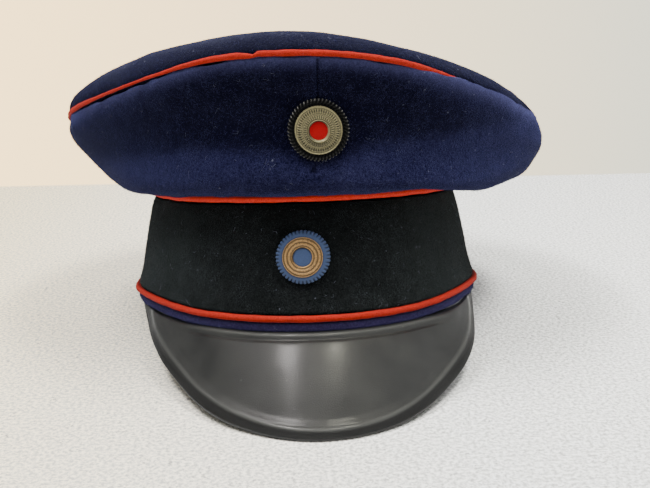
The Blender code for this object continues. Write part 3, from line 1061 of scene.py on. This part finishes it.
def edged(edge):
    """The worn ridge in place of the solid's plain bead."""

    def move(places, normals):
        inside = distance_to(places, edge)
        off = np.abs(np.degrees(turned_by(angles_of(places), FRONT)))
        share = np.interp(off, *BEAD_SHARES)
        ridge = profile(inside + narrowing(places), WORN_EDGE)
        rise = ridge - share * profile(inside / share, PLAIN_BEAD)
        return normals * (rise * facing_up(normals))[:, None]

    return move


def spread(edge):
    """The worn outline, which runs in and out a little along the edge."""

    def move(places, _normals):
        angles = angles_of(places)
        out = sum(
            hill(turned_by(angles, radians(angle)), 0, radians(span)) * mm
            for angle, span, mm in PEAK_SAGS
        )
        near = hill(distance_to(places, edge), 0, 0.035)
        return outward_of(places) * (out * near / 1000)[:, None]

    return move


class CAP_OT_peak(bpy.types.Operator):
    """Make the peak"""

    bl_idname = "cap.peak"
    bl_label = "Peak"

    def execute(self, context):
        peak = context.scene.cap_peak
        mesh = dense_copy("peak", levels=3)
        edge = outer_edge(mesh)
        places = places_of(mesh)
        inside = distance_to(places, edge) + narrowing(places)
        sculpt(mesh, shouldered(peak.roll), edged(edge), uneven(*PEAK_WAVE), spread(edge))
        # Painted highlights: along the roll below the hem, and on the ridge, where rubbed lacquer is
        # also lighter
        roll = hill(distance_to_node(places, "hem"), 0.0017, 0.0012) * front_share(places)
        store(mesh, "rubbed", np.maximum(0.6 * hill(inside, 0.0047, 0.0013), roll))
        # Painted shade on the band outside the ridge, which faces away from the light
        store(mesh, "painted_band_shade", 1 - step(inside, 0.0032, 0.0042))
        finished(mesh, "peak_shell", leather(peak.lacquer, peak.bloom), "peak")
        return {"FINISHED"}


# Cockades

# Radii in mm to which the profiles below are drawn
UPPER_RADIUS = 12.75
LOWER_RADIUS = 11.5
# Copies of a rib and a bead round the upper ring
RIBS = 52
BEADS = 40
# Steps of a turned mesh, in each pleat or all round
PLEAT_STEPS = 12
CENTRE_STEPS = 72
UPPER_RING_STEPS = 504
LOWER_RING_STEPS = 180


def turned(profile, steps):
    """A closed mesh turned about +Z from a profile of (radius, height) pairs."""
    bm = bmesh.new()
    verts = [bm.verts.new((r, 0, z)) for r, z in profile]
    edges = [bm.edges.new(pair) for pair in zip(verts, verts[1:])]
    bmesh.ops.spin(
        bm, geom=verts + edges, cent=(0, 0, 0), axis=(0, 0, 1), angle=2 * pi, steps=steps,
        use_merge=True,
    )
    bmesh.ops.remove_doubles(bm, verts=bm.verts, dist=1e-7)
    bmesh.ops.recalc_face_normals(bm, faces=bm.faces)
    return mesh_from(bm, "turned")


def rounded(corners, radius, segments=4):
    """The profile with each inner corner rounded by a short arc."""
    points = [Vector(corners[0])]
    for before, corner, after in zip(corners, corners[1:], corners[2:]):
        here = Vector(corner)
        back = Vector(before) - here
        ahead = Vector(after) - here
        reach = min(radius, back.length * 0.45, ahead.length * 0.45)
        start = here + back.normalized() * reach
        end = here + ahead.normalized() * reach
        for i in range(segments + 1):
            t = i / segments
            points.append(start * (1 - t) ** 2 + here * 2 * t * (1 - t) + end * t * t)
    points.append(Vector(corners[-1]))
    return [(p.x, p.y) for p in points]


# How far each cockade sits to the right and up in mm, and how its face leans
LEANS = {"upper_cockade": (0.0, 0.45, 0.0, -0.42), "lower_cockade": (-0.25, 0.45, -0.2, -0.34)}


def cockade_place(name):
    """(matrix, radius) of a cockade, whose face looks along the matrix's +Z."""
    base = node_points(name + "_base")
    centre, normal = plane_of(base)
    normal = normal * -np.sign(normal[1])
    across = unit(np.cross([[0, 0, 1.0]], [normal]))[0]
    up = np.cross(normal, across)
    middle = node_points(name + "_ring").mean(0)
    back = ((base - centre) @ normal).min()
    origin = middle + normal * (back - (middle - centre) @ normal)
    flat = (base - origin) @ np.array([across, up]).T
    radius = np.linalg.norm(flat, axis=1).max()
    turn = Matrix((across, up, normal)).transposed().to_4x4()
    right, rise, side, nod = LEANS[name]
    lean = Matrix.Translation((right / 1000, rise / 1000, 0))
    lean[0][2], lean[1][2] = side, nod
    return Matrix.Translation(origin) @ turn @ lean, radius


def polar(mesh):
    """(distance from the axis, angle, height) of each vertex of a turned mesh."""
    places = points_of(mesh)
    return np.hypot(places[:, 0], places[:, 1]), angles_of(places), places[:, 2]


def lifted(mesh, heights, shares=1.0):
    """Adds heights along +Z and scales the distance from the axis."""
    places = points_of(mesh)
    places[:, 2] += heights
    places[:, :2] *= np.broadcast_to(shares, len(places))[:, None]
    put_points(mesh, places)


def scaled(profile, mm):
    return [(r * mm, z * mm) for r, z in profile]


def placed(mesh, grime_and_shading, place, name, material, node):
    """The finished piece for a turned mesh, with its dirt and painted shading, moved to its
    cockade's place.
    """
    store(mesh, "grime_and_shading", grime_and_shading)
    mesh.transform(place)
    return finished(mesh, name, material, node)


def add_centre(name, profile, mm, place, material):
    mesh = turned(scaled([(0.0, 0.6), *rounded(profile, 0.15)], mm), CENTRE_STEPS)
    clean = np.zeros(len(mesh.vertices))
    placed(mesh, clean, place, name + "_enamel", material, name + "_centre")


class CAP_OT_upper_cockade(bpy.types.Operator):
    """Make the upper cockade"""

    bl_idname = "cap.upper_cockade"
    bl_label = "Upper cockade"

    def execute(self, context):
        looks = context.scene.cap_cockades
        place, radius = cockade_place("upper_cockade")
        mm = radius / UPPER_RADIUS
        self.plate(looks, place, mm)
        self.ring(looks, place, mm)
        enamel = metal("red_paint", looks.red, toned(looks.red, 0.5), 0.0, 0.45, 0.15)
        profile = [(3.85, 0.6), (3.85, 1.85), (0.0, 1.95)]
        add_centre("upper_cockade", profile, mm, place, enamel)
        return {"FINISHED"}

    def plate(self, looks, place, mm):
        rows = [(0.0, 0.0), (8.0, 0.0), (11.6, 0.15), (UPPER_RADIUS, 0.30)]
        shares = np.linspace(0, 1, 11)
        rows += [(UPPER_RADIUS - 1.7 * t, 0.7 + 0.8 * sin(t * pi)) for t in shares]
        rows += [(10.6, 0.75), (10.1, 0.95), (9.6, 1.15), (9.0, 1.2), (0.0, 1.2)]
        mesh = turned(scaled(rows, mm), looks.upper_pleats * PLEAT_STEPS)
        radii, angles, heights = polar(mesh)
        share = step(radii / mm, 9.3, 11.0)
        slant = (radii / mm - 9.8) * 0.040
        wave = np.abs(np.cos((angles + slant) * looks.upper_pleats / 2))
        top = heights > 0.5 * mm
        lifted(mesh, (wave - 0.6) * share * top * 0.6 * mm, 1 - (1 - wave) * share * 0.035)
        # Painted glints on the pleats' tips and sides; elsewhere the plate shows its black paint
        tips = step(wave, 0.88, 0.97) * step(radii / mm, 12.0, 12.4) * top
        sides = step(wave, 0.80, 0.97) * hill(radii / mm, 11.5, 0.9) * top
        patchy = step(wander(points_of(mesh) / mm, 0.004, 50), -0.35, 0.25)
        grime_and_shading = 1 - np.maximum(tips * 0.75, sides * 0.10) * patchy
        paint = metal("black_paint", looks.glint, looks.black, 0.0, 0.26, 0.12)
        name = "upper_cockade_plate"
        placed(mesh, grime_and_shading, place, name, paint, "upper_cockade_base")

    def ring(self, looks, place, mm):
        corners = [
            (3.65, 0.8), (9.85, 0.8), (9.85, 1.35), (9.52, 1.85), (9.15, 1.45), (8.98, 1.50),
            (8.05, 2.10), (7.08, 2.00), (6.95, 1.80), (6.80, 2.10), (6.60, 2.10), (6.48, 1.85),
            (6.30, 2.15), (5.60, 2.40), (4.95, 2.15), (4.85, 1.95), (4.70, 2.20), (4.45, 2.75),
            (3.65, 1.70), (3.65, 0.8),
        ]
        mesh = turned(scaled(rounded(corners, 0.16, 3), mm), UPPER_RING_STEPS)
        radii, angles, heights = polar(mesh)
        r = radii / mm
        top = heights > 1.3 * mm
        outer = hill(r, 8.02, 1.05) ** 0.3 * top
        inner = hill(r, 5.66, 0.90) ** 0.3 * top
        ribs = 0.5 - 0.5 * np.cos(angles * RIBS)
        beads = 0.5 - 0.5 * np.cos(angles * BEADS)
        lifted(mesh, -(outer * ribs * 0.55 + inner * beads * 0.35) * mm)
        grime_and_shading = np.maximum(outer * step(ribs, 0.2, 0.7), inner * step(beads, 0.3, 0.8) * 0.9)
        for groove in (9.06, 6.94, 6.50, 4.76):
            grime_and_shading = np.maximum(grime_and_shading, hill(r, groove, 0.22) * top)
        # Patches of wear, with painted shade: darker towards the bottom
        worn = 0.5 + 1.2 * wander(points_of(mesh) / mm, 0.0012, 51) - 0.3 * np.sin(angles + 0.3)
        grime_and_shading = np.maximum(grime_and_shading, worn * np.maximum(outer, inner))
        # Painted light on the cone's wall at the lower right, painted shade on the rest of it
        lit = hill(turned_by(angles, radians(-45)), 0, radians(115))
        cone = (r < 4.42) * top
        grime_and_shading = np.where(cone, 0.95 - lit * 1.2, np.clip(grime_and_shading, 0, 0.95))
        white = metal("worn_white_metal", looks.silver, looks.tarnish, 0.55, 0.28)
        name = "upper_cockade_rings"
        placed(mesh, grime_and_shading, place, name, white, "upper_cockade_ring")


class CAP_OT_lower_cockade(bpy.types.Operator):
    """Make the lower cockade"""

    bl_idname = "cap.lower_cockade"
    bl_label = "Lower cockade"

    def execute(self, context):
        looks = context.scene.cap_cockades
        place, radius = cockade_place("lower_cockade")
        mm = radius / LOWER_RADIUS
        blue = metal("blue_paint", looks.blue, toned(looks.blue, 0.35), 0.0, 0.40, 0.3)
        self.plate(looks, place, mm, blue)
        self.ring(looks, place, mm)
        profile = [(4.05, 0.6), (4.05, 1.35), (3.85, 1.45), (0.0, 1.50)]
        add_centre("lower_cockade", profile, mm, place, blue)
        return {"FINISHED"}

    def plate(self, looks, place, mm, blue):
        rows = [(0.0, 0.0), (7.5, 0.0), (10.4, 0.20), (LOWER_RADIUS, 0.35)]
        shares = np.linspace(0, 1, 12)
        rows += [(LOWER_RADIUS - 3.2 * t, 0.80 + 0.75 * sin(t * pi * 0.5)) for t in shares]
        rows += [(8.0, 1.2), (0.0, 1.2)]
        mesh = turned(scaled(rows, mm), looks.lower_pleats * PLEAT_STEPS)
        radii, angles, heights = polar(mesh)
        share = step(radii / mm, 9.5, 10.9)
        wave = (0.5 + 0.5 * np.cos(angles * looks.lower_pleats)) ** 0.6
        top = heights > 0.5 * mm
        lifted(mesh, (wave - 0.6) * share * top * 0.4 * mm, 1 - (1 - wave) * share * 0.03)
        # Darker around the ring's edge and in the pleats' valleys; shade is painted towards the
        # lower left
        rim = hill(radii / mm, 8.6, 0.7) * 0.7
        shade = 0.25 * step(-np.sin(angles + 0.7), -0.3, 1.0)
        grime_and_shading = np.maximum(step(1 - wave, 0.2, 0.8) * share, rim)
        grime_and_shading = np.maximum(grime_and_shading, shade)
        name = "lower_cockade_plate"
        placed(mesh, grime_and_shading, place, name, blue, "lower_cockade_base")

    def ring(self, looks, place, mm):
        corners = [
            (4.05, 0.8), (8.60, 0.8), (8.60, 1.45), (8.35, 1.95), (7.95, 1.50), (7.30, 2.10),
            (6.95, 2.15), (6.45, 1.65), (5.70, 2.20), (5.45, 2.20), (4.85, 1.70), (4.35, 2.10),
            (4.05, 1.90), (4.05, 0.8),
        ]
        mesh = turned(scaled(rounded(corners, 0.22), mm), LOWER_RING_STEPS)
        radii, angles, _heights = polar(mesh)
        grime_and_shading = np.zeros(len(radii))
        for groove in (7.95, 6.45, 4.85):
            grime_and_shading = np.maximum(grime_and_shading, hill(radii / mm, groove, 0.55))
        worn = 0.40 + 1.5 * wander(points_of(mesh) / mm, 0.0011, 52)
        grime_and_shading = np.maximum(grime_and_shading, worn)
        # Painted light on the inner wall at the lower right, painted shade on the rest of it
        lit = hill(turned_by(angles, radians(-60)), 0, radians(110))
        grime_and_shading = np.where(radii / mm < 4.4, 0.95 - lit, np.clip(grime_and_shading, 0, 0.9))
        gilt = metal("worn_gilt", looks.gilt, toned(looks.gilt, 0.06), 0.6, 0.26)
        name = "lower_cockade_rings"
        placed(mesh, grime_and_shading, place, name, gilt, "lower_cockade_ring")


# Nap and lint

FIBRE_SIDES = 3
NAP_WIDTH = 0.00010
LINT_WIDTH = 0.00008
# Piece, share of the nap count, and share of the lint count
NAPS = (("crown_side", 1.15, 1.0), ("crown_top", 0.5, 0.5), ("band", 0.8, 0.8), ("hem", 0.16, 0.1))


def outer_points(mesh, count, rng, middle):
    """(points, normals) spread by area over the faces that look away from a middle point."""
    mesh.calc_loop_triangles()
    corners = np.empty(len(mesh.loop_triangles) * 3, dtype=np.int32)
    mesh.loop_triangles.foreach_get("vertices", corners)
    places = points_of(mesh)[corners.reshape(-1, 3)]
    cross = np.cross(places[:, 1] - places[:, 0], places[:, 2] - places[:, 0])
    areas = np.linalg.norm(cross, axis=1)
    outward = (cross * (places.mean(1) - middle)).sum(1) > 0
    weights = areas * outward
    chosen = rng.choice(len(weights), count, p=weights / weights.sum())
    pair = rng.random((count, 2))
    flip = pair.sum(1) > 1
    pair[flip] = 1 - pair[flip]
    shares = np.column_stack((1 - pair.sum(1), pair))
    points = (places[chosen] * shares[:, :, None]).sum(1)
    return points, cross[chosen] / areas[chosen][:, None]


def fibre_mesh(name, roots, normals, lengths, width, lift, curl, rings, rng, wave=0.0):
    """Thin closed tapered fibres, which lean over and curl, as one mesh."""
    count = len(roots)
    phase = rng.uniform(0, 2 * pi, (count, 1))
    aside = unit(np.cross(normals, unit(rng.normal(size=(count, 3)))))
    lie = unit(aside + normals * lift[:, None])
    bend = np.cross(normals, aside) * rng.normal(0, 1, (count, 1)) * curl
    bend = bend - normals * curl * 0.4
    across = unit(np.cross(lie, normals))
    over = np.cross(lie, across)
    points = []
    for ring in range(rings):
        t = ring / rings
        sway = across * (np.sin(phase + t * 3 * pi) - np.sin(phase)) * wave
        middle = roots + (lie * t + bend * t * t + sway) * lengths[:, None]
        radius = width / 2 * (1 - 0.5 * t)
        for corner in range(FIBRE_SIDES):
            turn = corner * 2 * pi / FIBRE_SIDES
            points.append(middle + (across * cos(turn) + over * sin(turn)) * radius)
    sway = across * (np.sin(phase + 3 * pi) - np.sin(phase)) * wave
    points.append(roots + (lie + bend + sway) * lengths[:, None])
    tip = len(points) - 1
    pattern = [(2, 1, 0)]
    for ring in range(rings):
        low = ring * FIBRE_SIDES
        for side in range(FIBRE_SIDES):
            after = (side + 1) % FIBRE_SIDES
            if ring == rings - 1:
                pattern.append((low + side, low + after, tip))
            else:
                high = low + FIBRE_SIDES
                pattern.append((low + side, low + after, high + after, high + side))
    places = np.stack(points, 1).reshape(-1, 3)
    starts = np.arange(count)[:, None] * len(points)
    faces = []
    for face in pattern:
        faces += (starts + np.array(face)).tolist()
    mesh = bpy.data.meshes.new(name)
    mesh.from_pydata(places.tolist(), [], faces)
    mesh.shade_smooth()
    return mesh


class CAP_OT_nap(bpy.types.Operator):
    """Raise the nap and scatter the lint"""

    bl_idname = "cap.nap"
    bl_label = "Nap and lint"

    def execute(self, context):
        cloth = context.scene.cap_cloth
        rng = np.random.default_rng(7)
        middle = from_cap(CROWN_MIDDLE)
        # The fibres are lighter than the cloth's nap: painted sheen of the fuzzy outline
        navy = fibre("navy_fibres", toned(cloth.navy_nap, 2.2))
        black = fibre("black_fibres", toned(cloth.black_nap, 1.8))
        pale = fibre("lint_fibres", cloth.lint)
        for piece, naps, lints in NAPS:
            mesh = bpy.data.objects[piece + "_cloth"].data
            count = int(cloth.nap_count * naps)
            roots, normals = outer_points(mesh, count, rng, middle)
            lengths = cloth.nap_length * rng.uniform(0.6, 1.7, count)
            lift = rng.uniform(0.1, 1.0, count)
            name = piece + "_nap"
            fibres = fibre_mesh(name, roots, normals, lengths, NAP_WIDTH, lift, 0.5, 1, rng)
            finished(fibres, name, black if piece == "band" else navy)
            count = int(cloth.lint_count * lints)
            roots, normals = outer_points(mesh, count, rng, middle)
            roots = roots + normals * 0.0001
            lengths = rng.gamma(2.0, 0.0009, count) + 0.0005
            lift = rng.uniform(0.02, 0.22, count)
            name = piece + "_lint"
            fibres = fibre_mesh(name, roots, normals, lengths, LINT_WIDTH, lift, 0.9, 8, rng, 0.12)
            finished(fibres, name, pale)
        return {"FINISHED"}


# Stage

TABLE_HALF = 0.9
TABLE_BACK = 0.327
TABLE_THICKNESS = 0.03
WHITE = (1.0, 1.0, 1.0)
PINKISH = (1.0, 0.95, 0.93)
# Name, place, size, power in watts, colour, turn in degrees, and whether glossy surfaces mirror it
LIGHTS = (
    ("panel_left", (-0.285, 0.02, 1.2), (0.18, 0.30), 5.2, PINKISH, -8.2, True),
    ("panel_left_front", (-0.345, -0.28, 1.2), (0.14, 0.34), 0.9, PINKISH, -8.2, True),
    ("panel_right", (0.213, 0.0, 1.2), (0.10, 0.22), 2.5, (1.0, 0.98, 0.80), 0.0, True),
    ("glow", (-0.06, 0.0, 1.2), (1.35, 0.8), 0.2, (1.0, 0.99, 0.94), 0.0, True),
    ("panel_back", (0.03, 0.80, 1.2), (0.75, 0.40), 9.0, (1.0, 0.99, 0.96), 0.0, True),
    ("key_left", (-0.52, -0.12, 1.2), (0.22, 0.6), 26.0, WHITE, 0.0, False),
    ("key_right", (0.40, -0.17, 1.2), (0.22, 0.6), 24.0, (1.0, 0.99, 0.95), 0.0, False),
    ("front", (0.0, -1.2, 1.3), (2.0, 0.8), 13.0, WHITE, 0.0, False),
)


class CAP_OT_stage(bpy.types.Operator):
    """Make the table, the lights and the camera"""

    bl_idname = "cap.stage"
    bl_label = "Stage"

    def execute(self, context):
        looks = context.scene.cap_stage
        self.add_camera(context, looks)
        self.add_table(context, looks)
        self.add_world(context, looks)
        for light in LIGHTS:
            self.add_light(context, *light)
        return {"FINISHED"}

    def add_camera(self, context, looks):
        data = bpy.data.cameras.new("camera")
        data.sensor_width = SENSOR_WIDTH
        data.lens = looks.lens
        camera = bpy.data.objects.new("camera", data)
        camera.matrix_world = (
            Matrix.Translation(looks.camera_place)
            @ Matrix.Rotation(looks.heading, 4, "Z")
            @ Matrix.Rotation(pi / 2 - looks.pitch, 4, "X")
            @ Matrix.Rotation(looks.roll, 4, "Z")
        )
        context.scene.collection.objects.link(camera)
        context.scene.camera = camera

    def add_table(self, context, looks):
        bm = bmesh.new()
        bmesh.ops.create_cube(bm, size=1)
        size = (TABLE_HALF * 2, TABLE_HALF + TABLE_BACK, TABLE_THICKNESS)
        middle = (0, (TABLE_BACK - TABLE_HALF) / 2, -TABLE_THICKNESS / 2)
        bmesh.ops.scale(bm, vec=size, verts=bm.verts)
        bmesh.ops.translate(bm, vec=middle, verts=bm.verts)
        turn = Matrix.Rotation(looks.heading, 3, "Z")
        bmesh.ops.rotate(bm, cent=(0, 0, 0), matrix=turn, verts=bm.verts)
        mesh = bpy.data.meshes.new("table")
        bm.to_mesh(mesh)
        bm.free()
        material, graph, shader, place = new_material("table_top", roughness=0.6, specular=0.2)
        grain = graph.noise(place, 620, detail=3, roughness=0.65)
        pits = graph.ramp(graph.noise(place, 150, detail=2), 0.30, 0.42, 0.5, 0.0)
        across = graph.add("SeparateXYZ", links={"Vector": place}).outputs["X"]
        colour = graph.mix(graph.ramp(across, -0.22, 0.05), looks.warm_table, looks.table)
        colour = graph.mix(graph.ramp(grain, 0.38, 0.60, 0.8, 0.0), colour, PIT_GREYS[0])
        pits = graph.times(pits, graph.ramp(grain, 0.35, 0.5, 1.0, 0.0))
        colour = graph.mix(pits, colour, PIT_GREYS[1])
        seen = graph.add("LightPath").outputs["Is Camera Ray"]
        share = looks.bounce
        graph.feed(shader["Base Color"], graph.mix(seen, toned(looks.table, share), colour))
        graph.feed(shader["Normal"], graph.bump(grain, 0.0016))
        mesh.materials.append(material)
        table = bpy.data.objects.new("table", mesh)
        context.scene.collection.objects.link(table)

    def add_world(self, context, looks):
        world = bpy.data.worlds.new("backdrop")
        world.use_nodes = True
        world.node_tree.nodes.clear()
        graph = Graph(world.node_tree)
        direction = graph.add("TexCoord").outputs["Generated"]
        axes = graph.add("SeparateXYZ", links={"Vector": direction}).outputs
        seen = graph.mix(graph.ramp(axes["X"], -0.4, 0.4), looks.wall_left, looks.wall_right)
        wall = graph.add("Background", links={"Color": seen})
        height = graph.ramp(axes["Z"], -0.2, 0.9, looks.fill_low, looks.fill_high)
        glow = graph.times(height, graph.ramp(axes["X"], -1.0, 1.0, 0.7, 2.0))
        rays = graph.add("LightPath").outputs
        strength = graph.ramp(rays["Is Glossy Ray"], 0, 1, 1.0, looks.gloss)
        fill = graph.add("Background", links={"Color": glow, "Strength": strength})
        which = rays["Is Camera Ray"]
        both = graph.add("MixShader", links={0: which, 1: fill.outputs[0], 2: wall.outputs[0]})
        graph.add("OutputWorld", links={"Surface": both.outputs[0]})
        context.scene.world = world

    def add_light(self, context, name, place, size, power, colour, turn, mirrored):
        data = bpy.data.lights.new(name, "AREA")
        data.shape = "RECTANGLE"
        data.size, data.size_y = size
        data.energy = power
        data.color = colour
        light = bpy.data.objects.new(name, data)
        light.location = place
        light.rotation_euler = (0, 0, radians(turn))
        light.visible_glossy = mirrored
        context.scene.collection.objects.link(light)


class CAP_PT_panel(bpy.types.Panel):
    """Lists the steps that dress the cap, and their settings"""

    bl_idname = "CAP_PT_panel"
    bl_label = "Peaked cap"
    bl_space_type = "VIEW_3D"
    bl_region_type = "UI"
    bl_category = "Cap"

    def draw(self, context):
        for operator in OPERATORS:
            self.layout.operator(operator.bl_idname)
        for name in SETTINGS:
            looks = getattr(context.scene, name)
            self.layout.label(text=name.replace("_", " ").title())
            for key in looks.__annotations__:
                self.layout.prop(looks, key)


OPERATORS = (
    CAP_OT_stage,
    CAP_OT_crown,
    CAP_OT_band,
    CAP_OT_cords,
    CAP_OT_peak,
    CAP_OT_upper_cockade,
    CAP_OT_lower_cockade,
    CAP_OT_nap,
)
SETTINGS = {
    "cap_cloth": CapCloth,
    "cap_cords": CapCords,
    "cap_peak": CapPeak,
    "cap_cockades": CapCockades,
    "cap_stage": CapStage,
}


def register():
    for made in (*SETTINGS.values(), *OPERATORS, CAP_PT_panel):
        bpy.utils.register_class(made)
    for name, made in SETTINGS.items():
        setattr(bpy.types.Scene, name, PointerProperty(type=made))


def unregister():
    for name in SETTINGS:
        delattr(bpy.types.Scene, name)
    for made in (CAP_PT_panel, *reversed(OPERATORS), *SETTINGS.values()):
        bpy.utils.unregister_class(made)


def main():
    register()
    for operator in OPERATORS:
        name = operator.bl_idname.split(".")[1]
        getattr(bpy.ops.cap, name)()


if __name__ == "__main__":
    main()
